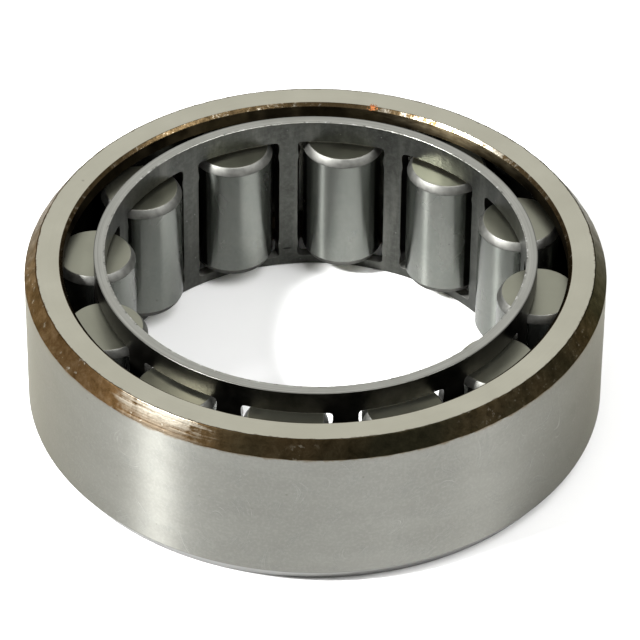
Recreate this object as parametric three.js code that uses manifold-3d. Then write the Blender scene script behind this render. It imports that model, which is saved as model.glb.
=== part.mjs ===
// Cylindrical roller bearing with no inner ring: its rollers run straight on the shaft.
// Millimetres. +Z is the bearing's axis, and the origin lies on it, level with the ring's bottom face.
import * as THREE from "three";
import { mergeVertices } from "three/addons/utils/BufferGeometryUtils.js";
import Module from "manifold-3d";

const ROLLER_COUNT = 12;
const FIRST_ROLLER_DEG = -7;
const PITCH_RADIUS = 23.9;

// Outer ring: a lip at each end of the raceway keeps the rollers in.
const RING_RADIUS = 31;
const RING_WIDTH = 19;
const LIP_BORE_RADIUS = 26.9;
const LIP_THICKNESS = 1.8;
const RACEWAY_RADIUS = 28.45;
const OUTER_CHAMFER_RADIAL = 1.2;
const OUTER_CHAMFER_AXIAL = 1.75;
const LIP_CHAMFER = 0.35;
const RELIEF_DEPTH = 0.3; // grinding relief in each corner of the raceway
const RELIEF_WIDTH = 0.7;
const RELIEF_SLOPE = 0.3;

// Rollers: the corner between side and end is longer along the axis than across it.
const ROLLER_RADIUS = 4.45;
const ROLLER_LENGTH = 14.9;
const ROLLER_END_GAP = 0.08; // above the bottom lip
const ROLLER_CORNER_RADIAL = 0.45;
const ROLLER_CORNER_AXIAL = 0.95;
const CORNER_STEPS = 3;

// Cage: one pressed ring with a window for each roller.
const CAGE_INNER_RADIUS = 22.4;
const CAGE_OUTER_RADIUS = 23.6;
const CAGE_BOTTOM = 0.1;
const CAGE_TOP = 19.84;
const CAGE_EDGE_BREAK = 0.12;
const WINDOW_BOTTOM = 1.2;
const WINDOW_TOP = 17.2;
const WINDOW_HALF_WIDTH = 4.78;

// Staked claws near each window corner stop a roller from dropping inwards.
const CLAW_HALF_GAP = 4.36;
const CLAW_FOOT = 1.1; // from the window's end to the start of the claw
const CLAW_SLOPE = 0.4;
const CLAW_HEIGHT = 0.9;
const POCKET_CLEARANCE = 0.12;

const RING_SEGMENTS = 96;
const ROLLER_SEGMENTS = 28;
const POCKET_SEGMENTS = 48;
const CUT_MARGIN = 1; // how far a cutting tool runs past the wall on each side

const ringSteel = new THREE.MeshStandardMaterial({ color: 0xaaa99c, roughness: 0.35, metalness: 0.9 });
const cageSteel = new THREE.MeshStandardMaterial({ color: 0x56574f, roughness: 0.6, metalness: 0.7 });
const rollerSteel = new THREE.MeshStandardMaterial({ color: 0x8f918b, roughness: 0.25, metalness: 0.95 });

const wasm = await Module();
wasm.setup();

// A closed geometry as a solid that can be cut.
function toSolid(geometry) {
  const bare = geometry.clone();
  bare.deleteAttribute("normal");
  bare.deleteAttribute("uv");
  const merged = mergeVertices(bare);
  const vertProperties = new Float32Array(merged.attributes.position.array);
  const triVerts = new Uint32Array(merged.index.array);
  return new wasm.Manifold(new wasm.Mesh({ numProp: 3, vertProperties, triVerts }));
}

function toGeometry(solid) {
  const mesh = solid.getMesh();
  const geometry = new THREE.BufferGeometry();
  geometry.setAttribute("position", new THREE.BufferAttribute(mesh.vertProperties, 3));
  geometry.setIndex(new THREE.BufferAttribute(mesh.triVerts, 1));
  const flat = geometry.toNonIndexed();
  flat.computeVertexNormals();
  return flat;
}

// Turns a profile of [radius, height] points about +Z. It runs anticlockwise: up on the outside.
function revolve(profile, segments) {
  const points = profile.map(([radius, height]) => new THREE.Vector2(radius, height));
  return new THREE.LatheGeometry(points, segments).rotateX(Math.PI / 2);
}

function namedMesh(name, geometry, material) {
  const mesh = new THREE.Mesh(geometry, material);
  mesh.name = name;
  return mesh;
}

function rollerAngle(index) {
  return THREE.MathUtils.degToRad(FIRST_ROLLER_DEG + (360 / ROLLER_COUNT) * index);
}

// The upper half of the ring's section, from the middle of its outside to the middle of the raceway,
// as [radius, height above the middle plane].
function ringHalfProfile() {
  const half = RING_WIDTH / 2;
  const shoulder = half - LIP_THICKNESS;
  const reliefRadius = RACEWAY_RADIUS + RELIEF_DEPTH;
  return [
    [RING_RADIUS, half - OUTER_CHAMFER_AXIAL],
    [RING_RADIUS - OUTER_CHAMFER_RADIAL, half],
    [LIP_BORE_RADIUS + LIP_CHAMFER, half],
    [LIP_BORE_RADIUS, half - LIP_CHAMFER],
    [LIP_BORE_RADIUS, shoulder],
    [reliefRadius, shoulder],
    [reliefRadius, shoulder - RELIEF_WIDTH],
    [RACEWAY_RADIUS, shoulder - RELIEF_WIDTH - RELIEF_SLOPE],
  ];
}

function outerRing() {
  const upper = ringHalfProfile();
  const lower = upper.map(([radius, height]) => [radius, -height]).reverse();
  const section = [...upper, ...lower, upper[0]];
  const profile = section.map(([radius, height]) => [radius, height + RING_WIDTH / 2]);
  return namedMesh("outer_ring", revolve(profile, RING_SEGMENTS), ringSteel);
}

// The outline of a window as seen along its roller's radius: x is tangential, y is the height.
function windowOutline() {
  const middle = (WINDOW_BOTTOM + WINDOW_TOP) / 2;
  const half = (WINDOW_TOP - WINDOW_BOTTOM) / 2;
  const clawEnd = half - CLAW_FOOT;
  const tipTop = clawEnd - CLAW_SLOPE;
  const tipBottom = tipTop - CLAW_HEIGHT;
  const upperRight = [
    [WINDOW_HALF_WIDTH, tipBottom - CLAW_SLOPE],
    [CLAW_HALF_GAP, tipBottom],
    [CLAW_HALF_GAP, tipTop],
    [WINDOW_HALF_WIDTH, clawEnd],
    [WINDOW_HALF_WIDTH, half],
  ];
  const upperLeft = upperRight.map(([x, y]) => [-x, y]).reverse();
  const upper = [...upperRight, ...upperLeft];
  const lower = upper.map(([x, y]) => [-x, -y]);
  return new THREE.Shape([...upper, ...lower].map(([x, y]) => new THREE.Vector2(x, y + middle)));
}

// What is cut away for one roller, at azimuth 0: the window, and the space the roller turns in.
function windowTool() {
  const start = CAGE_INNER_RADIUS - CUT_MARGIN;
  const depth = CAGE_OUTER_RADIUS + CUT_MARGIN - start;
  const opening = new THREE.ExtrudeGeometry(windowOutline(), { depth, bevelEnabled: false });
  const tangential = new THREE.Vector3(0, 1, 0);
  const axial = new THREE.Vector3(0, 0, 1);
  const radial = new THREE.Vector3(1, 0, 0);
  opening.applyMatrix4(new THREE.Matrix4().makeBasis(tangential, axial, radial));
  opening.translate(start, 0, 0);

  const pocketRadius = ROLLER_RADIUS + POCKET_CLEARANCE;
  const pocketHeight = WINDOW_TOP - WINDOW_BOTTOM;
  const pocket = new THREE.CylinderGeometry(pocketRadius, pocketRadius, pocketHeight, POCKET_SEGMENTS);
  pocket.rotateX(Math.PI / 2);
  pocket.translate(PITCH_RADIUS, 0, (WINDOW_BOTTOM + WINDOW_TOP) / 2);
  return toSolid(opening).add(toSolid(pocket));
}

function cage() {
  const wall = [
    [CAGE_INNER_RADIUS + CAGE_EDGE_BREAK, CAGE_BOTTOM],
    [CAGE_OUTER_RADIUS - CAGE_EDGE_BREAK, CAGE_BOTTOM],
    [CAGE_OUTER_RADIUS, CAGE_BOTTOM + CAGE_EDGE_BREAK],
    [CAGE_OUTER_RADIUS, CAGE_TOP - CAGE_EDGE_BREAK],
    [CAGE_OUTER_RADIUS - CAGE_EDGE_BREAK, CAGE_TOP],
    [CAGE_INNER_RADIUS + CAGE_EDGE_BREAK, CAGE_TOP],
    [CAGE_INNER_RADIUS, CAGE_TOP - CAGE_EDGE_BREAK],
    [CAGE_INNER_RADIUS, CAGE_BOTTOM + CAGE_EDGE_BREAK],
  ];
  const tool = toGeometry(windowTool());
  let solid = toSolid(revolve([...wall, wall[0]], RING_SEGMENTS));
  for (let i = 0; i < ROLLER_COUNT; i++) {
    solid = solid.subtract(toSolid(tool.clone().rotateZ(rollerAngle(i))));
  }
  return namedMesh("cage", toGeometry(solid), cageSteel);
}

// One end of a roller's profile, from the flat end face round the corner to the side.
function rollerCorner() {
  const half = ROLLER_LENGTH / 2;
  const points = [];
  for (let i = 0; i <= CORNER_STEPS; i++) {
    const turn = ((Math.PI / 2) * i) / CORNER_STEPS;
    const radius = ROLLER_RADIUS - ROLLER_CORNER_RADIAL * (1 - Math.sin(turn));
    points.push([radius, half - ROLLER_CORNER_AXIAL * (1 - Math.cos(turn))]);
  }
  return points;
}

function rollerGeometry() {
  const upper = rollerCorner();
  const lower = upper.map(([radius, height]) => [radius, -height]);
  const profile = [[0, -ROLLER_LENGTH / 2], ...lower, ...upper.reverse(), [0, ROLLER_LENGTH / 2]];
  return revolve(profile, ROLLER_SEGMENTS);
}

function rollers() {
  const group = new THREE.Group();
  const geometry = rollerGeometry();
  const middle = LIP_THICKNESS + ROLLER_END_GAP + ROLLER_LENGTH / 2;
  for (let i = 0; i < ROLLER_COUNT; i++) {
    const angle = rollerAngle(i);
    const roller = namedMesh(`roller_${String(i + 1).padStart(2, "0")}`, geometry, rollerSteel);
    roller.position.set(PITCH_RADIUS * Math.cos(angle), PITCH_RADIUS * Math.sin(angle), middle);
    roller.rotation.z = angle;
    group.add(roller);
  }
  return group;
}

const bearing = new THREE.Group();
bearing.add(outerRing(), cage(), rollers());

export default bearing;
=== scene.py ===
"""The looks of a cylindrical roller bearing without an inner ring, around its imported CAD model.

Units are metres. +Z is the bearing's axis, and the outer ring's bottom face lies at z = 0.
"""
import math
import random

import bmesh
import bpy
from mathutils import Matrix, Vector, noise


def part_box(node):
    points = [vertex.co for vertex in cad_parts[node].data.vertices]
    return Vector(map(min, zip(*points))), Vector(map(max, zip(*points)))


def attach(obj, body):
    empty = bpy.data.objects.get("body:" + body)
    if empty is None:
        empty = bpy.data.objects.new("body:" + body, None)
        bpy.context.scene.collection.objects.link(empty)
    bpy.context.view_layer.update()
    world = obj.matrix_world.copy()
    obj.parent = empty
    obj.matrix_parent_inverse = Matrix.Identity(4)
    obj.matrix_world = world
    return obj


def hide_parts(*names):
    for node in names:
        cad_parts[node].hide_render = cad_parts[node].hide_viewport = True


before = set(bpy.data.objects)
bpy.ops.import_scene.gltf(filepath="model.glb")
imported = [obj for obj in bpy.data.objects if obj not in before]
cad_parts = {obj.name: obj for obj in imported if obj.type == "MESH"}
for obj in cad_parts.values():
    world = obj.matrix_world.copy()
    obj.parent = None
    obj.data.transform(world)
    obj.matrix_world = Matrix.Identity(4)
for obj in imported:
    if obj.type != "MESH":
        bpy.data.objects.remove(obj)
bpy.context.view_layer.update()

MM = 0.001
MICRON = 0.001 * MM

# Sizes from the frame.
RING_LOW, RING_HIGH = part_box("outer_ring")
CAGE_LOW, CAGE_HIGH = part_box("cage")
RING_RADIUS = RING_HIGH.x
RING_WIDTH = RING_HIGH.z - RING_LOW.z
CAGE_OUTER_RADIUS = CAGE_HIGH.x
ROLLER_NODES = sorted(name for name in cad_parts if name.startswith("roller_"))
HALF_PITCH = math.pi / len(ROLLER_NODES)  # half the angle from one roller to the next

# Outer ring.
LIP_BORE_RADIUS = 26.9 * MM
LIP_THICKNESS = 1.8 * MM
RACEWAY_RADIUS = 28.45 * MM
OUTER_CHAMFER_RADIAL = 1.2 * MM
OUTER_CHAMFER_AXIAL = 1.75 * MM
LIP_CHAMFER = 0.35 * MM
RELIEF_DEPTH = 0.3 * MM
RELIEF_WIDTH = 0.7 * MM
OUTER_ROUNDING = 0.1 * MM
INNER_ROUNDING = 0.06 * MM
RING_SEGMENTS = 576
CHAMFER_FOOT = RING_HIGH.z - OUTER_CHAMFER_AXIAL  # the height where the top chamfer meets the side
FACE_RADIUS = RING_RADIUS - OUTER_CHAMFER_RADIAL  # the radius where it meets the face

# Rollers: a flat arc makes the corner between side and end.
ROLLER_RADIUS = 4.45 * MM
ROLLER_CORNER_RADIAL = 0.53 * MM
ROLLER_CORNER_AXIAL = 0.88 * MM
ROLLER_CORNER_HALF_ARC = math.radians(10)
ROLLER_CORNER_STEPS = 8
ROLLER_SEGMENTS = 128

# Cage: one wall with a window for each roller.
CAGE_WALL = 1.2 * MM
CAGE_INNER_RADIUS = CAGE_OUTER_RADIUS - CAGE_WALL
CAGE_EDGE = 0.1 * MM  # the width of the bevel on all its edges
WINDOW_LOW = 1.2 * MM
WINDOW_HIGH = 17.2 * MM
WINDOW_HALF_WIDTH = 4.78 * MM
WINDOW_CORNER = 0.45 * MM
WINDOW_STEPS_ACROSS = 22
WINDOW_STEPS_ALONG = 48
WINDOW_CORNER_STEPS = 3
CLAW_DEPTH = 0.12 * MM  # low swellings near each window corner hold the roller in
CLAW_FROM_END = 1.9 * MM
CLAW_HALF_HEIGHT = 0.75 * MM

# Wear and marks, each at its place on the object at rest.
WORN_SPOT = Vector((-15.8, -26.1, 18.3)) * MM  # where the oxide of the top chamfer is rubbed through
WORN_REACH = 7 * MM
LIP_WORN_SPOT = Vector((16.0, 21.9, 18.9)) * MM  # the same on the bore's edge
LIP_WORN_REACH = 12 * MM
BROWN_TO, BLACK_FROM = -26 * MM, 8 * MM  # the chamfer fades from brown to black between these along +X: painted shade for the dark surroundings its right side reflects
RUST_SPOT = Vector((6.15, 26.55, 18.98)) * MM
RUST_SOLID, RUST_REACH, RUST_RAGGED = 0.26 * MM, 0.46 * MM, 0.34 * MM
RUST_COLOUR = (0.32, 0.115, 0.040)
SHADOW_LINE_FLATNESS = 4  # the painted shadow line on one bar is this many times wider than high
SHADOW_LINE_SPOT = Vector((-3.25, 22.16, SHADOW_LINE_FLATNESS * 2.35)) * MM
SHADOW_LINE_SOLID, SHADOW_LINE_REACH = 0.35 * MM, 0.6 * MM

# Materials.
WHITE = (1, 1, 1)
NOISE_LOW, NOISE_HIGH = 0.3, 0.7  # a noise texture mostly keeps between these
ALONG_AXIS = 0.25  # turns a stretched highlight from round the axis to along it
SEED_ATTRIBUTE = "own_seed"  # shifts the textures of each roller by its own amount
HIGHEST_OWN_SEED = 3
RANDOM_SEED = 7

# Camera.
CAMERA_ELEVATION = math.radians(39.468)
CAMERA_DISTANCE = 16.717 * RING_RADIUS
CAMERA_ROLL = math.radians(0.5295)
CAMERA_TARGET = Vector((0.0169 * RING_RADIUS, 0, RING_WIDTH - 0.2834 * RING_RADIUS))
CAMERA_LENS = 271.18
SENSOR_WIDTH = 36
CLIP_NEAR, CLIP_FAR = 0.01, 20

# Floor and lights.
FLOOR_HALF_SIZE = 3
FLOOR_GAP = 0.02 * MM  # keeps the floor just clear of the ring's bottom face
STUDIO_COLOUR = (1, 1, 0.98)
STUDIO_STRENGTH = 0.55
LIGHTS = [  # name, azimuth and elevation in degrees, distance and size in metres, watts
    ("key", -154.6, 42, 0.9, 0.105, 19.0),
    ("backdrop", 90, 38, 1.5, 1.5, 2.0),
    ("overhead", -40, 66, 1.1, 0.42, 5.4),
    ("right_fill", -20, 40, 1.0, 0.3, 3.6),
]


def make_object(name, data):
    made = bpy.data.objects.new(name, data)
    bpy.context.scene.collection.objects.link(made)
    return made


def add_face(mesh, corners, slot):
    face = mesh.faces.new(corners)
    face.smooth = True
    face.material_index = slot


def finish_mesh(name, mesh, materials):
    """Turns a bmesh into mesh data, with its materials in slot order."""
    data = bpy.data.meshes.new(name)
    mesh.to_mesh(data)
    mesh.free()
    for material in materials:
        data.materials.append(material)
    return data


def on_cylinder(radius, angle, height):
    return (radius * math.cos(angle), radius * math.sin(angle), height)


# ---------------------------------------------------------------- material graphs


class Look:
    """One material and its node tree. Most methods add a node and return its output."""

    def __init__(self, name):
        self.material = bpy.data.materials.new(name)
        self.material.use_nodes = True
        self.tree = self.material.node_tree
        self.tree.nodes.clear()

    def node(self, kind, settings=None, **inputs):
        made = self.tree.nodes.new(kind)
        for key, value in (settings or {}).items():
            setattr(made, key, value)
        for key, value in inputs.items():
            self.feed(made.inputs[key.replace("_", " ")], value)
        return made

    def feed(self, socket, value):
        """Links another node's output to a socket, or sets the socket to a number, vector or colour."""
        if isinstance(value, bpy.types.NodeSocket):
            self.tree.links.new(value, socket)
        elif socket.type == "RGBA":
            socket.default_value = (*value, 1)
        else:
            socket.default_value = value

    # Places.

    def place(self):
        """The surface point in the piece's own frame, in metres."""
        return self.node("ShaderNodeTexCoord").outputs["Object"]

    def own_place(self):
        """The surface point, shifted by the roller's own seed, so that no two rollers look the same."""
        own = self.node("ShaderNodeAttribute", {"attribute_name": SEED_ATTRIBUTE}).outputs["Fac"]
        return self.shifted(self.place(), self.join(own, own, own))

    def vector_math(self, operation, first, second=None):
        made = self.node("ShaderNodeVectorMath", {"operation": operation})
        self.feed(made.inputs[0], first)
        if second is not None:
            self.feed(made.inputs[1], second)
        return made.outputs["Value" if operation in ("LENGTH", "DISTANCE") else "Vector"]

    def stretched(self, vector, x, y, z):
        return self.vector_math("MULTIPLY", vector, (x, y, z))

    def shifted(self, vector, amount):
        return self.vector_math("ADD", vector, amount)

    def radius(self, vector):
        return self.vector_math("LENGTH", self.stretched(vector, 1, 1, 0))

    def parts(self, vector):
        made = self.node("ShaderNodeSeparateXYZ")
        self.feed(made.inputs[0], vector)
        return made.outputs

    def join(self, x, y, z):
        made = self.node("ShaderNodeCombineXYZ")
        for socket, value in zip(made.inputs, (x, y, z)):
            self.feed(socket, value)
        return made.outputs[0]

    # Numbers.

    def math(self, operation, first, second, clamp=False):
        made = self.node("ShaderNodeMath", {"operation": operation, "use_clamp": clamp})
        self.feed(made.inputs[0], first)
        self.feed(made.inputs[1], second)
        return made.outputs[0]

    def add(self, first, second, clamp=False):
        return self.math("ADD", first, second, clamp)

    def times(self, first, second):
        return self.math("MULTIPLY", first, second)

    def between(self, value, low, high, to_low=0.0, to_high=1.0):
        """Linear map of a value from low..high to to_low..to_high, held at both ends."""
        made = self.node("ShaderNodeMapRange")
        for socket, number in zip(made.inputs, (value, low, high, to_low, to_high)):
            self.feed(socket, number)
        return made.outputs[0]

    def vary(self, value, low, high):
        """A number that runs from low to high over a noise's usual range."""
        return self.between(value, NOISE_LOW, NOISE_HIGH, low, high)

    def wander(self, value, vector, scale, reach):
        """A value made uneven by up to reach either way."""
        return self.add(value, self.vary(self.noise(vector, scale, 4, 0.7), -reach, reach))

    # Patterns.

    def noise(self, vector, scale, detail=3.0, roughness=0.55, distortion=0.0):
        settings = {"Scale": scale, "Detail": detail, "Roughness": roughness, "Distortion": distortion}
        made = self.node("ShaderNodeTexNoise", **settings)
        self.feed(made.inputs["Vector"], vector)
        return made.outputs[0]

    def lines(self, place, fineness):
        """Fine grinding lines round a cylinder."""
        return self.noise(self.stretched(place, 60, 60, fineness), 1.0, 4, 0.6)

    def circles(self, place, coarseness, fineness, detail):
        """Fine tool lines round the axis on a flat face."""
        x, y, _ = self.parts(place)
        along = [self.times(value, coarseness) for value in (x, y)]
        across = self.times(self.radius(place), fineness)
        return self.noise(self.join(*along, across), 1.0, detail)

    def dots(self, vector, scale, stops):
        """Small scattered dots: the stops give the tone at distances from a dot's middle, in cells."""
        made = self.node("ShaderNodeTexVoronoi", Scale=scale)
        self.feed(made.inputs["Vector"], vector)
        return self.ramp(made.outputs["Distance"], stops)

    def near(self, vector, spot, inner, outer, ragged=0.0):
        """1 within inner metres of a spot, falling to 0 at outer; ragged shifts the border unevenly."""
        distance = self.vector_math("DISTANCE", vector, spot)
        if ragged:
            uneven = self.noise(vector, 2.2 / outer, 3, 0.6)
            distance = self.add(distance, self.vary(uneven, -ragged, ragged))
        return self.between(distance, inner, outer, 1.0, 0.0)

    def rust(self, place):
        return self.near(place, RUST_SPOT, RUST_SOLID, RUST_REACH, RUST_RAGGED)

    # Colours.

    def ramp(self, value, stops):
        """Maps a value through [position, grey or colour] stops."""
        made = self.node("ShaderNodeValToRGB")
        self.feed(made.inputs[0], value)
        elements = made.color_ramp.elements
        while len(elements) < len(stops):
            elements.new(0.5)
        for element, (position, tone) in zip(elements, stops):
            element.position = position
            element.color = (*tone, 1) if isinstance(tone, tuple) else (tone, tone, tone, 1)
        return made.outputs[0]

    def mottled(self, value, dark, light):
        """A colour that runs from dark to light over a noise's usual range."""
        return self.ramp(value, [(NOISE_LOW, dark), (NOISE_HIGH, light)])

    def blend(self, share, first, second):
        made = self.node("ShaderNodeMix", {"data_type": "RGBA"})
        self.feed(made.inputs[0], share)
        self.feed(made.inputs[6], first)
        self.feed(made.inputs[7], second)
        return made.outputs[2]

    # Surfaces.

    def bump(self, height, depth, normal=None):
        made = self.node("ShaderNodeBump", Strength=1.0, Distance=depth, Height=height)
        if normal is not None:
            self.feed(made.inputs["Normal"], normal)
        return made.outputs[0]

    def metal(self, colour, roughness, normal=None, grain=0.0, metallic=1.0, edge=WHITE):
        """Bare metal: grain stretches highlights along the axis, and edge tints them at grazing angles."""
        shader = self.node("ShaderNodeBsdfPrincipled", Metallic=metallic, Roughness=roughness)
        self.feed(shader.inputs["Base Color"], colour)
        self.feed(shader.inputs["Specular Tint"], edge)
        if normal is not None:
            self.feed(shader.inputs["Normal"], normal)
        if grain:
            shader.inputs["Anisotropic"].default_value = grain
            shader.inputs["Anisotropic Rotation"].default_value = ALONG_AXIS
            tangent = self.node("ShaderNodeTangent", {"direction_type": "RADIAL", "axis": "Z"})
            self.feed(shader.inputs["Tangent"], tangent.outputs[0])
        return self.surface(shader)

    def surface(self, shader):
        output = self.node("ShaderNodeOutputMaterial")
        self.feed(output.inputs["Surface"], shader.outputs[0])
        return self.material


# ---------------------------------------------------------------- outer ring materials


def ground_side_steel():
    """The outer ring's ground outside: fine lines round it, faint scratches, small dark pits."""
    look = Look("ground_side_steel")
    place = look.place()
    _, _, z = look.parts(place)
    lines = look.lines(place, 9000)
    patches = look.noise(look.stretched(place, 90, 90, 240), 1.0, 4, 0.6, 0.4)
    smears = look.noise(place, 420, 5, 0.65, 0.6)
    grain = look.noise(place, 6000, 2, 0.6)
    glitter = look.noise(place, 3200, 2, 0.5)
    pits = look.dots(place, 300, [(0.0, 1.0), (0.025, 0.9), (0.045, 0.0)])
    slope = look.join(0, 0, look.noise(place, 30, 2))
    slanted = look.noise(look.stretched(look.shifted(place, slope), 45, 45, 900), 1.0, 1, 0.3, 0.5)
    scratches = look.ramp(slanted, [(0.490, 0.0), (0.5, 1.0), (0.510, 0.0)])
    scratches = look.times(scratches, look.between(smears, 0.48, 0.60))
    tone = look.mottled(patches, (0.149, 0.149, 0.135), (0.175, 0.176, 0.160))
    tone = look.blend(look.between(lines, 0.35, 0.65, 0.0, 0.10), tone, (0.12, 0.12, 0.11))
    tone = look.blend(look.between(smears, 0.5, 0.72, 0.0, 0.35), tone, (0.125, 0.130, 0.122))
    tone = look.blend(look.between(glitter, 0.45, 0.70, 0.0, 0.12), tone, (0.30, 0.30, 0.28))
    tone = look.blend(look.times(scratches, 0.5), tone, (0.36, 0.36, 0.34))
    tone = look.blend(look.times(pits, 0.4), tone, (0.08, 0.075, 0.06))
    height = look.wander(z, place, 900, 0.22 * MM)
    stain = look.between(height, CHAMFER_FOOT - 0.3 * MM, CHAMFER_FOOT, 0.0, 0.8)
    tone = look.blend(stain, tone, (0.10, 0.075, 0.048))
    rough = look.add(look.vary(patches, 0.325, 0.345), look.vary(lines, -0.004, 0.008))
    normal = look.bump(lines, 0.4 * MICRON)
    normal = look.bump(grain, 1.1 * MICRON, normal)
    normal = look.bump(scratches, 2 * MICRON, normal)
    return look.metal(tone, rough, normal, grain=1.0, edge=(0.78, 0.75, 0.66))


def ground_face_steel():
    """The outer ring's flat faces: ground in fine circles, with a few dents and one speck of rust."""
    look = Look("ground_face_steel")
    place = look.place()
    circles = look.circles(place, 50, 7000, 4)
    patches = look.noise(place, 160, 4, 0.6)
    dents = look.dots(place, 110, [(0.0, 1.0), (0.016, 1.0), (0.026, 0.0)])
    tone = look.mottled(patches, (0.50, 0.485, 0.395), (0.55, 0.535, 0.44))
    tone = look.blend(look.between(circles, 0.35, 0.7, 0.0, 0.12), tone, (0.42, 0.41, 0.33))
    tone = look.blend(look.times(dents, 0.5), tone, (0.22, 0.21, 0.17))
    radius = look.wander(look.radius(place), place, 1300, 0.16 * MM)
    stain = look.between(radius, FACE_RADIUS - 0.18 * MM, FACE_RADIUS - 0.04 * MM, 0.0, 0.75)
    tone = look.blend(stain, tone, (0.12, 0.09, 0.06))
    rust = look.rust(place)
    tone = look.blend(rust, tone, RUST_COLOUR)
    rough = look.add(look.vary(patches, 0.28, 0.34), look.times(rust, 0.4))
    normal = look.bump(circles, 0.8 * MICRON)
    return look.metal(tone, rough, look.bump(dents, -10 * MICRON, normal))


def oxide_chamfer_steel():
    """The unground top chamfer: mottled brown heat-treatment oxide, rubbed bright in one place, and fading
    to black towards +X as painted shade.
    """
    look = Look("oxide_chamfer_steel")
    place = look.place()
    x, _, z = look.parts(place)
    mottle = look.noise(place, 900, 6, 0.7, 0.3)
    broad = look.noise(place, 60, 3, 0.5)
    grain = look.noise(place, 2400, 3, 0.7)
    across = look.times(look.radius(place), 6000)
    turned = look.noise(look.join(look.times(x, 60), look.times(broad, 6), across), 1.0, 3)
    shaded_black = look.mottled(mottle, (0.007, 0.0065, 0.0035), (0.026, 0.0235, 0.013))
    browns = [(0.3, (0.029, 0.016, 0.005)), (0.5, (0.074, 0.043, 0.018)), (0.75, (0.148, 0.100, 0.054))]
    uneven = look.between(broad, 0.35, 0.65, -0.3, 0.3)
    # painted shade: the brown oxide fades to black towards +X, for the dark surroundings that side reflects
    brown_share = look.add(look.between(x, BROWN_TO, BLACK_FROM, 1.0, 0.0), uneven, clamp=True)
    tone = look.blend(brown_share, shaded_black, look.ramp(mottle, browns))
    worn = look.near(place, WORN_SPOT, 0.2 * WORN_REACH, WORN_REACH)
    scraped = look.add(look.times(mottle, 0.5), look.times(turned, 0.5))
    rubbed = look.between(look.add(scraped, look.times(worn, 0.22)), 0.56, 0.74)
    upper = look.between(z, CHAMFER_FOOT + 0.35 * MM, CHAMFER_FOOT + 1.35 * MM, 0.25, 1.0)
    bare = look.times(look.times(rubbed, upper), look.between(worn, 0.0, 0.3))
    flecks = look.between(look.noise(place, 1500, 3, 0.6), 0.62, 0.68)
    flecks = look.times(flecks, look.between(look.noise(place, 130, 2), 0.47, 0.56))
    bare = look.math("MAXIMUM", bare, look.times(flecks, brown_share))
    tone = look.blend(bare, tone, (0.29, 0.265, 0.215))
    normal = look.bump(grain, 14 * MICRON, look.bump(turned, 12 * MICRON))
    return look.metal(tone, look.vary(mottle, 0.42, 0.30), normal, edge=(0.55, 0.54, 0.50))


def foot_chamfer_steel():
    """The bottom chamfer: turned steel without oxide."""
    look = Look("foot_chamfer_steel")
    lines = look.lines(look.place(), 5000)
    tone = look.mottled(lines, (0.105, 0.105, 0.098), (0.150, 0.150, 0.139))
    return look.metal(tone, 0.4, look.bump(lines, 2 * MICRON))


def bore_edge_steel():
    """The chamfer between a face and the bore: brown oxide, rubbed bright in one stretch at the top."""
    look = Look("bore_edge_steel")
    place = look.place()
    mottle = look.noise(place, 1100, 5, 0.7, 0.3)
    nicks = look.noise(place, 2600, 2, 0.6)
    tone = look.mottled(mottle, (0.022, 0.014, 0.006), (0.10, 0.070, 0.035))
    worn = look.near(place, LIP_WORN_SPOT, 0.25 * LIP_WORN_REACH, LIP_WORN_REACH)
    bare = look.between(look.add(mottle, look.times(worn, 0.16)), 0.58, 0.72)
    tone = look.blend(bare, tone, (0.36, 0.335, 0.275))
    rust = look.rust(place)
    tone = look.blend(rust, tone, RUST_COLOUR)
    rough = look.add(look.vary(mottle, 0.34, 0.22), look.times(rust, 0.4))
    return look.metal(tone, rough, look.bump(nicks, 16 * MICRON), edge=(0.5, 0.5, 0.5))


def bore_steel():
    """The lips' inner sides: dark, oiled, with brown oxide; near the top edge by the worn stretch the base
    is golden, a painted reflection of the key light that fades out lower down.
    """
    look = Look("bore_steel")
    place = look.place()
    _, _, z = look.parts(place)
    mottle = look.noise(place, 300, 5, 0.6, 0.4)
    brushed = look.noise(look.stretched(place, 1, 1, 4), 700, 4, 0.65)
    tone = look.mottled(mottle, (0.012, 0.009, 0.005), (0.050, 0.039, 0.022))
    golden = look.ramp(brushed, [(0.35, (0.075, 0.052, 0.026)), (0.65, (0.28, 0.235, 0.15))])
    # painted reflection: the base turns golden only near the top edge by the worn stretch, where the key
    # light reflects, and fades back to the dark oxide lower down
    worn = look.near(place, LIP_WORN_SPOT, 0.5 * LIP_WORN_REACH, 1.2 * LIP_WORN_REACH)
    upper = look.between(z, RING_HIGH.z - 1.5 * MM, RING_HIGH.z - 0.2 * MM)
    tone = look.blend(look.times(worn, upper), tone, golden)
    tone = look.blend(look.rust(place), tone, RUST_COLOUR)
    rough = look.vary(mottle, 0.34, 0.44)
    return look.metal(tone, rough, look.bump(mottle, 10 * MICRON), grain=0.9, edge=(0.5, 0.5, 0.5))


def raceway_steel():
    """The raceway and the shoulders beside it: finely ground."""
    look = Look("raceway_steel")
    lines = look.lines(look.place(), 9000)
    tone = look.blend(look.between(lines, 0.35, 0.65), (0.20, 0.195, 0.17), (0.15, 0.145, 0.12))
    return look.metal(tone, 0.22, look.bump(lines, 1 * MICRON), grain=0.6)


# ---------------------------------------------------------------- cage materials


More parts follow.
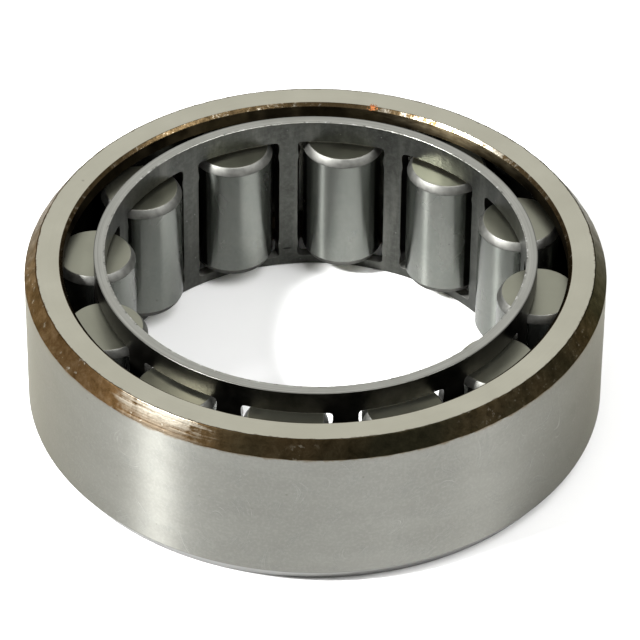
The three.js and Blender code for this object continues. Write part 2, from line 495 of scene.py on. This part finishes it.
def cage_steel():
    """The cage's phosphated inside: matt dark grey, mottled, with rubbed specks and smudges."""
    look = Look("cage_steel")
    place = look.place()
    mottle = look.noise(place, 350, 5, 0.65, 0.3)
    grit = look.noise(place, 1900, 3, 0.65)
    streaks = look.noise(look.stretched(place, 500, 500, 60), 1.0, 4, 0.6)
    specks = look.dots(place, 800, [(0.0, 1.0), (0.07, 0.0)])
    dark_specks = look.dots(look.shifted(place, (0.3, 0.1, 0.2)), 480, [(0.0, 1.0), (0.06, 0.0)])
    tone = look.mottled(mottle, (0.029, 0.030, 0.026), (0.053, 0.055, 0.049))
    tone = look.blend(look.between(grit, 0.42, 0.70, 0.0, 0.30), tone, (0.105, 0.107, 0.097))
    tone = look.blend(look.between(streaks, 0.5, 0.75, 0.0, 0.5), tone, (0.13, 0.13, 0.115))
    tone = look.blend(look.times(specks, 0.6), tone, (0.40, 0.40, 0.37))
    tone = look.blend(look.times(dark_specks, 0.7), tone, (0.010, 0.010, 0.009))
    # painted shade: a dark line low on one bar, standing in for the shadow under a small step
    shadow_line = look.near(look.stretched(place, 1, 1, SHADOW_LINE_FLATNESS), SHADOW_LINE_SPOT, SHADOW_LINE_SOLID, SHADOW_LINE_REACH)
    tone = look.blend(shadow_line, tone, (0.008, 0.008, 0.007))
    normal = look.bump(grit, 6 * MICRON, look.bump(mottle, 10 * MICRON))
    return look.metal(tone, look.vary(mottle, 0.30, 0.42), normal, metallic=0.9)


def cage_rim_steel():
    """The cage's turned rims: bare steel with circular tool lines and a chipped inner edge, darkened at the
    outer edge as painted shade.
    """
    look = Look("cage_rim_steel")
    place = look.place()
    radius = look.radius(place)
    circles = look.circles(place, 70, 9000, 3)
    patches = look.noise(place, 220, 4, 0.6)
    inner = look.between(radius, CAGE_INNER_RADIUS + 0.08 * MM, CAGE_INNER_RADIUS + 0.28 * MM, 1.0, 0.0)
    chips = look.between(look.noise(place, 1400, 3, 0.7), 0.54, 0.66)
    glints = look.between(look.noise(look.shifted(place, (0.2, 0, 0)), 1400, 3, 0.7), 0.58, 0.66)
    # painted shade: the rim darkens towards its outer edge, holding back the highlight of its bevel
    outer = look.between(radius, CAGE_OUTER_RADIUS - 0.15 * MM, CAGE_OUTER_RADIUS - 0.08 * MM, 0.0, 0.8)
    tone = look.mottled(circles, (0.315, 0.315, 0.288), (0.47, 0.47, 0.43))
    tone = look.blend(look.between(patches, 0.5, 0.75, 0.0, 0.5), tone, (0.27, 0.265, 0.23))
    tone = look.blend(look.times(chips, inner), tone, (0.10, 0.10, 0.09))
    tone = look.blend(look.times(glints, inner), tone, (0.75, 0.75, 0.72))
    # the painted shade at the rim's outer edge
    tone = look.blend(outer, tone, (0.11, 0.11, 0.10))
    return look.metal(tone, 0.36, look.bump(circles, 2 * MICRON))


def cage_outside_and_shade_steel():
    """The cage's outside: the same coating as inside, unrubbed and oily. On the windows' cut edges this dark
    tone is painted shade for the gaps beside the rollers.
    """
    look = Look("cage_outside_and_shade_steel")
    mottle = look.noise(look.place(), 350, 5, 0.65, 0.3)
    tone = look.mottled(mottle, (0.020, 0.019, 0.016), (0.050, 0.047, 0.040))
    return look.metal(tone, look.vary(mottle, 0.30, 0.42), look.bump(mottle, 6 * MICRON))


def cage_sill_steel():
    """The punched foot of each window, scraped bare by the roller above it."""
    look = Look("cage_sill_steel")
    torn = look.noise(look.place(), 900, 4, 0.6)
    tone = look.mottled(torn, (0.07, 0.07, 0.064), (0.17, 0.17, 0.155))
    return look.metal(tone, 0.6, look.bump(torn, 10 * MICRON), metallic=0.5)


# ---------------------------------------------------------------- roller materials


def roller_side_steel():
    """A roller's side, ground round it, which stretches highlights along it."""
    look = Look("roller_side_steel")
    place = look.own_place()
    patches = look.noise(look.stretched(place, 260, 260, 160), 1.0, 3, 0.55)
    smears = look.noise(place, 520, 4, 0.6, 0.5)
    grain = look.noise(place, 7000, 2, 0.6)
    specks = look.noise(look.stretched(place, 3600, 3600, 2400), 1.0, 2, 0.6)
    pits = look.dots(place, 420, [(0.0, 1.0), (0.035, 0.8), (0.06, 0.0)])
    tone = look.mottled(patches, (0.148, 0.157, 0.142), (0.184, 0.190, 0.173))
    tone = look.blend(look.between(smears, 0.50, 0.70, 0.0, 0.35), tone, (0.140, 0.153, 0.142))
    tone = look.blend(look.between(specks, 0.50, 0.70, 0.0, 0.12), tone, (0.085, 0.090, 0.082))
    tone = look.blend(look.between(specks, 0.50, 0.32, 0.0, 0.08), tone, (0.30, 0.31, 0.285))
    tone = look.blend(look.times(pits, 0.6), tone, (0.06, 0.06, 0.055))
    return look.metal(tone, look.vary(patches, 0.262, 0.276), look.bump(grain, 0.8 * MICRON), grain=1.0)


def roller_end_steel():
    """A roller's flat ends: lapped, a little yellowed by oil."""
    look = Look("roller_end_steel")
    patches = look.noise(look.own_place(), 300, 3, 0.5)
    tone = look.mottled(patches, (0.305, 0.305, 0.242), (0.345, 0.345, 0.275))
    return look.metal(tone, look.vary(patches, 0.30, 0.36), look.bump(patches, 2 * MICRON))


def roller_corner_steel():
    """A roller's tumbled upper corner."""
    look = Look("roller_corner_steel")
    patches = look.noise(look.own_place(), 1200, 4, 0.6)
    tone = look.mottled(patches, (0.145, 0.145, 0.134), (0.230, 0.230, 0.213))
    return look.metal(tone, look.vary(patches, 0.46, 0.56), look.bump(patches, 8 * MICRON))


def roller_foot_shade_steel():
    """A roller's lower corner: darker than the upper corner though shaped the same, as painted shade."""
    look = Look("roller_foot_shade_steel")
    patches = look.noise(look.place(), 900, 3, 0.6)
    # painted shade: the lower corner's tone is kept dark
    tone = look.mottled(patches, (0.07, 0.07, 0.065), (0.13, 0.13, 0.12))
    return look.metal(tone, 0.5, edge=(0.4, 0.4, 0.4))


# ---------------------------------------------------------------- outer ring

ARC_STEPS = 6
SUPPORT = 0.06 * MM  # how far a flat stretch is held flat beside a rounded corner
MOST_CUT = 0.45  # the share of a straight stretch that a corner may round off

# Grinding cut unevenly into the top chamfer, so its two borders waver.
WAVER_SCALE = 22  # about how often a border turns in or out in one radian
WAVER_AT_FACE = 0.05 * MM
WAVER_AT_SIDE = 0.07 * MM
WAVER_BAND = 0.15 * MM  # how close to a border a point has to be to move with it
OTHER_PLACE = Vector((0, 0, 9))  # takes the second border's waver from elsewhere in the noise

RING_LOOKS = {
    "side": ground_side_steel,
    "chamfer": oxide_chamfer_steel,
    "face": ground_face_steel,
    "lip": bore_steel,
    "edge": bore_edge_steel,
    "raceway": raceway_steel,
    "foot": foot_chamfer_steel,
}


def round_corner(before, corner, after, radius):
    """Points of a rounded corner between two straight stretches, with a support point at each side."""
    back = (before - corner).normalized()
    ahead = (after - corner).normalized()
    half_angle = back.angle(ahead) / 2
    shortest = min((before - corner).length, (after - corner).length)
    cut = min(radius / math.tan(half_angle), MOST_CUT * shortest)
    radius = cut * math.tan(half_angle)
    centre = corner + (back + ahead).normalized() * (radius / math.sin(half_angle))
    start = corner + back * cut
    end = corner + ahead * cut
    from_start, from_end = (start - centre).normalized(), (end - centre).normalized()
    points = [start + back * min(SUPPORT, cut)]
    for i in range(ARC_STEPS + 1):
        points.append(centre + from_start.slerp(from_end, i / ARC_STEPS) * radius)
    points.append(end + ahead * min(SUPPORT, cut))
    return points


def rounded_section(corners):
    """A closed section from (radius, height, rounding, tag) corners: points, and each point's tag.

    A corner's tag names the stretch after it. The rounding beside a chamfer belongs to the chamfer.
    """
    points = []
    for i, (r, z, rounding, tag) in enumerate(corners):
        before = Vector(corners[i - 1][:2])
        after = Vector(corners[(i + 1) % len(corners)][:2])
        arc = round_corner(before, Vector((r, z)), after, rounding)
        tag_before = corners[i - 1][3]
        rounded = tag_before if tag_before in ("chamfer", "foot") else tag
        points += [(p.x, p.y, rounded) for p in arc[:-1]]
        points.append((arc[-1].x, arc[-1].y, tag))
    return points


def ring_section():
    """The outer ring's section, anticlockwise from the foot of its top chamfer."""
    top, bottom = RING_HIGH.z, RING_LOW.z
    shoulder = top - LIP_THICKNESS
    relief_radius = RACEWAY_RADIUS + RELIEF_DEPTH
    upper = [
        (RING_RADIUS, CHAMFER_FOOT, OUTER_ROUNDING, "chamfer"),
        (FACE_RADIUS, top, OUTER_ROUNDING, "face"),
        (LIP_BORE_RADIUS + LIP_CHAMFER, top, INNER_ROUNDING, "edge"),
        (LIP_BORE_RADIUS, top - LIP_CHAMFER, INNER_ROUNDING, "lip"),
        (LIP_BORE_RADIUS, shoulder, INNER_ROUNDING, "lip"),
        (relief_radius, shoulder, INNER_ROUNDING, "raceway"),
        (relief_radius, shoulder - RELIEF_WIDTH, INNER_ROUNDING, "raceway"),
        (RACEWAY_RADIUS, shoulder - RELIEF_WIDTH - RELIEF_DEPTH, INNER_ROUNDING, "raceway"),
    ]
    flipped = [(r, top + bottom - z, rounding) for r, z, rounding, _ in reversed(upper)]
    tags = ["raceway", "raceway", "lip", "lip", "edge", "face", "foot", "side"]
    lower = [(*corner, tag) for corner, tag in zip(flipped, tags)]
    return rounded_section(upper + lower)


def waver(r, z, angle):
    """A point of the section at this angle, moved if it lies on a border of the top chamfer."""
    along = Vector((math.cos(angle), math.sin(angle), 0)) * WAVER_SCALE
    if abs(r - FACE_RADIUS) < WAVER_BAND and z > RING_HIGH.z - WAVER_BAND:
        r += WAVER_AT_FACE * noise.noise(along)
    if r > RING_RADIUS - WAVER_BAND and abs(z - CHAMFER_FOOT) < WAVER_BAND:
        z += WAVER_AT_SIDE * noise.noise(along + OTHER_PLACE)
    return r, z


def build_outer_ring():
    """The section turned about +Z. A face takes the material of its first point's tag."""
    section = ring_section()
    slots = {tag: index for index, tag in enumerate(RING_LOOKS)}
    mesh = bmesh.new()
    rings = []
    for i in range(RING_SEGMENTS):
        angle = 2 * math.pi * i / RING_SEGMENTS
        ring = []
        for r, z, _ in section:
            radius, height = waver(r, z, angle)
            ring.append(mesh.verts.new(on_cylinder(radius, angle, height)))
        rings.append(ring)
    for i, ring in enumerate(rings):
        following = rings[(i + 1) % RING_SEGMENTS]
        for j, (_, _, tag) in enumerate(section):
            k = (j + 1) % len(section)
            add_face(mesh, (ring[j], following[j], following[k], ring[k]), slots[tag])
    data = finish_mesh("outer_ring_body", mesh, [look() for look in RING_LOOKS.values()])
    made = make_object("outer_ring_body", data)
    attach(made, "outer_ring")
    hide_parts("outer_ring")


# ---------------------------------------------------------------- cage

INSIDE, RIM, OUTSIDE, SILL = range(4)  # material slots, in the order of the looks
CAGE_LOOKS = [cage_steel, cage_rim_steel, cage_outside_and_shade_steel, cage_sill_steel]
SKIN_SHARES = [0.0, 0.12, 0.4, 0.7, 1.0]  # the loops of a sector, from its window out to its border
SILL_TOP = WINDOW_LOW + 0.75 * WINDOW_CORNER  # a window's edge is its sill where it starts below this
CORNER_SNAP = 0.02  # a window point this close to a diagonal goes to the sector's corner
MERGE_DISTANCE = 0.0001 * MM
BEVEL_ABOVE = math.radians(40)


def claw_depth(z):
    """How far the bar's edge stands into the window at this height."""
    middle = (WINDOW_LOW + WINDOW_HIGH) / 2
    claw_height = (WINDOW_HIGH - WINDOW_LOW) / 2 - CLAW_FROM_END
    from_claw = abs(abs(z - middle) - claw_height)
    return CLAW_DEPTH * max(0.0, 1 - (from_claw / CLAW_HALF_HEIGHT) ** 2) ** 2


def window_outline():
    """One window's outline as (tangential place, height) points, anticlockwise from its right side's top."""
    flat_half = WINDOW_HALF_WIDTH - WINDOW_CORNER
    top = WINDOW_HIGH - WINDOW_CORNER
    bottom = WINDOW_LOW + WINDOW_CORNER
    upper_left = []

    def add_corner(centre, start):
        for i in range(WINDOW_CORNER_STEPS + 1):
            turn = start + math.pi / 2 * i / WINDOW_CORNER_STEPS
            x = centre + WINDOW_CORNER * math.cos(turn)
            upper_left.append((x, top + WINDOW_CORNER * math.sin(turn)))

    add_corner(flat_half, 0)
    for i in range(1, WINDOW_STEPS_ACROSS):
        upper_left.append((flat_half * (1 - 2 * i / WINDOW_STEPS_ACROSS), WINDOW_HIGH))
    add_corner(-flat_half, math.pi / 2)
    for i in range(1, WINDOW_STEPS_ALONG):
        z = top + (bottom - top) * i / WINDOW_STEPS_ALONG
        upper_left.append((claw_depth(z) - WINDOW_HALF_WIDTH, z))
    lower_right = [(-x, WINDOW_LOW + WINDOW_HIGH - z) for x, z in upper_left]
    return upper_left + lower_right


def sector_border(window):
    """The border point of a sector for each window point, both as shares from the middle, from -1 to 1."""
    middle = (WINDOW_LOW + WINDOW_HIGH) / 2
    half = (WINDOW_HIGH - WINDOW_LOW) / 2
    border = []
    for x, z in window:
        u, v = x / WINDOW_HALF_WIDTH, (z - middle) / half
        reach = max(abs(u), abs(v))
        if abs(abs(u) - abs(v)) < CORNER_SNAP * reach:
            u, v = math.copysign(reach, u), math.copysign(reach, v)
        border.append((u / reach, v / reach))
    return border


def sector_skin(mesh, radius, azimuth, window, border):
    """One face of the wall round a window, as loops from the window out to the sector's border."""
    loops = []
    for share in SKIN_SHARES:
        loop = []
        for (x, z), (u, v) in zip(window, border):
            rim_height = CAGE_LOW.z + (CAGE_HIGH.z - CAGE_LOW.z) * (v + 1) / 2
            turn = (1 - share) * math.asin(x / radius) + share * u * HALF_PITCH
            height = (1 - share) * z + share * rim_height
            loop.append(mesh.verts.new(on_cylinder(radius, azimuth + turn, height)))
        loops.append(loop)
    return loops


def add_sector(mesh, azimuth, window, border):
    """The wall round one window: inside, outside, the window's cut edge and the two rims."""
    inside = sector_skin(mesh, CAGE_INNER_RADIUS, azimuth, window, border)
    outside = sector_skin(mesh, CAGE_OUTER_RADIUS, azimuth, window, border)
    for j in range(len(window)):
        k = (j + 1) % len(window)
        for s in range(len(SKIN_SHARES) - 1):
            add_face(mesh, (inside[s][j], inside[s][k], inside[s + 1][k], inside[s + 1][j]), INSIDE)
            add_face(mesh, (outside[s][k], outside[s][j], outside[s + 1][j], outside[s + 1][k]), OUTSIDE)
        # painted shade: the windows' cut edges above the sill take the dark outside look, for the gaps
        # beside the rollers
        edge_slot = SILL if window[j][1] < SILL_TOP else OUTSIDE
        add_face(mesh, (inside[0][k], inside[0][j], outside[0][j], outside[0][k]), edge_slot)
        if border[j][1] == border[k][1] and abs(border[j][1]) == 1:
            add_face(mesh, (inside[-1][j], inside[-1][k], outside[-1][k], outside[-1][j]), RIM)


def build_cage():
    window = window_outline()
    border = sector_border(window)
    mesh = bmesh.new()
    for node in ROLLER_NODES:
        low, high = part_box(node)
        centre = (low + high) / 2
        add_sector(mesh, math.atan2(centre.y, centre.x), window, border)
    bmesh.ops.remove_doubles(mesh, verts=mesh.verts, dist=MERGE_DISTANCE)
    bmesh.ops.recalc_face_normals(mesh, faces=mesh.faces)
    made = make_object("cage_body", finish_mesh("cage_body", mesh, [look() for look in CAGE_LOOKS]))
    bevel = made.modifiers.new("edges", "BEVEL")
    bevel.width = CAGE_EDGE
    bevel.segments = 3
    bevel.limit_method = "ANGLE"
    bevel.angle_limit = BEVEL_ABOVE
    bevel.harden_normals = True
    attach(made, "cage")
    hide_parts("cage")


# ---------------------------------------------------------------- rollers

SIDE, END, CORNER, FOOT = range(4)  # material slots, in the order of the looks
ROLLER_LOOKS = [roller_side_steel, roller_end_steel, roller_corner_steel, roller_foot_shade_steel]
END_BAND = 0.01 * MM  # a face whose middle is this close to the roller's end belongs to the end


def roller_half_section(half):
    """The upper half of a roller's section, from beside the axis out over the corner and down the side."""
    flat = ROLLER_RADIUS - ROLLER_CORNER_RADIAL
    points = [(flat * 0.5, half), (flat - SUPPORT, half)]
    chord = math.hypot(ROLLER_CORNER_RADIAL, ROLLER_CORNER_AXIAL)
    lean = math.atan2(ROLLER_CORNER_RADIAL, ROLLER_CORNER_AXIAL)
    bend = chord / (2 * math.sin(ROLLER_CORNER_HALF_ARC))
    first = lean + ROLLER_CORNER_HALF_ARC
    for i in range(ROLLER_CORNER_STEPS + 1):
        turn = first - 2 * ROLLER_CORNER_HALF_ARC * i / ROLLER_CORNER_STEPS
        radius = flat + bend * (math.cos(turn) - math.cos(first))
        points.append((radius, half + bend * (math.sin(turn) - math.sin(first))))
    points.append((ROLLER_RADIUS, half - ROLLER_CORNER_AXIAL - SUPPORT))
    points.append((ROLLER_RADIUS, half * 0.5))
    return points


def roller_slot(height, half):
    """The material slot of a face, from the height of its middle above the roller's."""
    if abs(height) > half - END_BAND:
        return END
    if abs(height) > half - ROLLER_CORNER_AXIAL:
        return CORNER if height > 0 else FOOT
    return SIDE


def roller_mesh(half):
    upper = roller_half_section(half)
    section = [(r, -z) for r, z in upper] + [(r, z) for r, z in reversed(upper)]
    mesh = bmesh.new()
    foot = mesh.verts.new((0, 0, -half))
    head = mesh.verts.new((0, 0, half))
    turns = [2 * math.pi * i / ROLLER_SEGMENTS for i in range(ROLLER_SEGMENTS)]
    rings = [[mesh.verts.new(on_cylinder(r, turn, z)) for turn in turns] for r, z in section]
    for i in range(ROLLER_SEGMENTS):
        k = (i + 1) % ROLLER_SEGMENTS
        mesh.faces.new((foot, rings[0][k], rings[0][i]))
        mesh.faces.new((head, rings[-1][i], rings[-1][k]))
        for lower, higher in zip(rings, rings[1:]):
            mesh.faces.new((lower[i], lower[k], higher[k], higher[i]))
    for face in mesh.faces:
        face.smooth = True
        face.material_index = roller_slot(face.calc_center_median().z, half)
    return mesh


def build_rollers():
    rng = random.Random(RANDOM_SEED)
    materials = [look() for look in ROLLER_LOOKS]
    for node in ROLLER_NODES:
        low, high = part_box(node)
        name = node + "_body"
        data = finish_mesh(name, roller_mesh((high.z - low.z) / 2), materials)
        own = data.attributes.new(SEED_ATTRIBUTE, "FLOAT", "POINT")
        own.data.foreach_set("value", [rng.uniform(0, HIGHEST_OWN_SEED)] * len(data.vertices))
        roller = make_object(name, data)
        roller.location = (low + high) / 2
        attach(roller, node)
        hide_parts(node)


# ---------------------------------------------------------------- camera, floor and lights


def make_camera():
    forward = Vector((0, math.cos(CAMERA_ELEVATION), -math.sin(CAMERA_ELEVATION)))
    side = Vector((1, 0, 0))
    up = side.cross(forward)
    right = side * math.cos(CAMERA_ROLL) + up * math.sin(CAMERA_ROLL)
    above = up * math.cos(CAMERA_ROLL) - side * math.sin(CAMERA_ROLL)
    data = bpy.data.cameras.new("camera")
    data.lens = CAMERA_LENS
    data.sensor_width = SENSOR_WIDTH
    data.clip_start = CLIP_NEAR
    data.clip_end = CLIP_FAR
    camera = make_object("camera", data)
    rotation = Matrix((right, above, -forward)).transposed().to_4x4()
    camera.matrix_world = Matrix.Translation(CAMERA_TARGET - forward * CAMERA_DISTANCE) @ rotation
    bpy.context.scene.camera = camera


def floor_paper():
    """Pale studio paper."""
    look = Look("floor_paper")
    shader = look.node("ShaderNodeBsdfPrincipled", Roughness=0.9)
    tone = look.ramp(look.noise(look.place(), 3, 2), [(0.0, 0.91), (1.0, 0.93)])
    look.feed(shader.inputs["Base Color"], tone)
    return look.surface(shader)


def make_floor():
    mesh = bmesh.new()
    size, height = FLOOR_HALF_SIZE, RING_LOW.z - FLOOR_GAP
    corners = [(-size, -size), (size, -size), (size, size), (-size, size)]
    mesh.faces.new([mesh.verts.new((x, y, height)) for x, y in corners])
    make_object("floor", finish_mesh("floor", mesh, [floor_paper()]))


def area_light(name, azimuth_deg, elevation_deg, distance, size, watts):
    """A square light, turned to the bearing."""
    azimuth, elevation = math.radians(azimuth_deg), math.radians(elevation_deg)
    way = Vector(on_cylinder(math.cos(elevation), azimuth, math.sin(elevation)))
    data = bpy.data.lights.new(name, "AREA")
    data.energy = watts
    data.size = size
    light = make_object(name, data)
    light.location = way * distance
    light.rotation_mode = "QUATERNION"
    light.rotation_quaternion = way.to_track_quat("Z", "Y")


def make_studio():
    world = bpy.data.worlds.new("studio")
    world.use_nodes = True
    background = world.node_tree.nodes["Background"]
    background.inputs["Color"].default_value = (*STUDIO_COLOUR, 1)
    background.inputs["Strength"].default_value = STUDIO_STRENGTH
    bpy.context.scene.world = world
    bpy.context.scene.view_settings.view_transform = "Standard"
    for light in LIGHTS:
        area_light(*light)


make_camera()
build_outer_ring()
build_cage()
build_rollers()
make_floor()
make_studio()
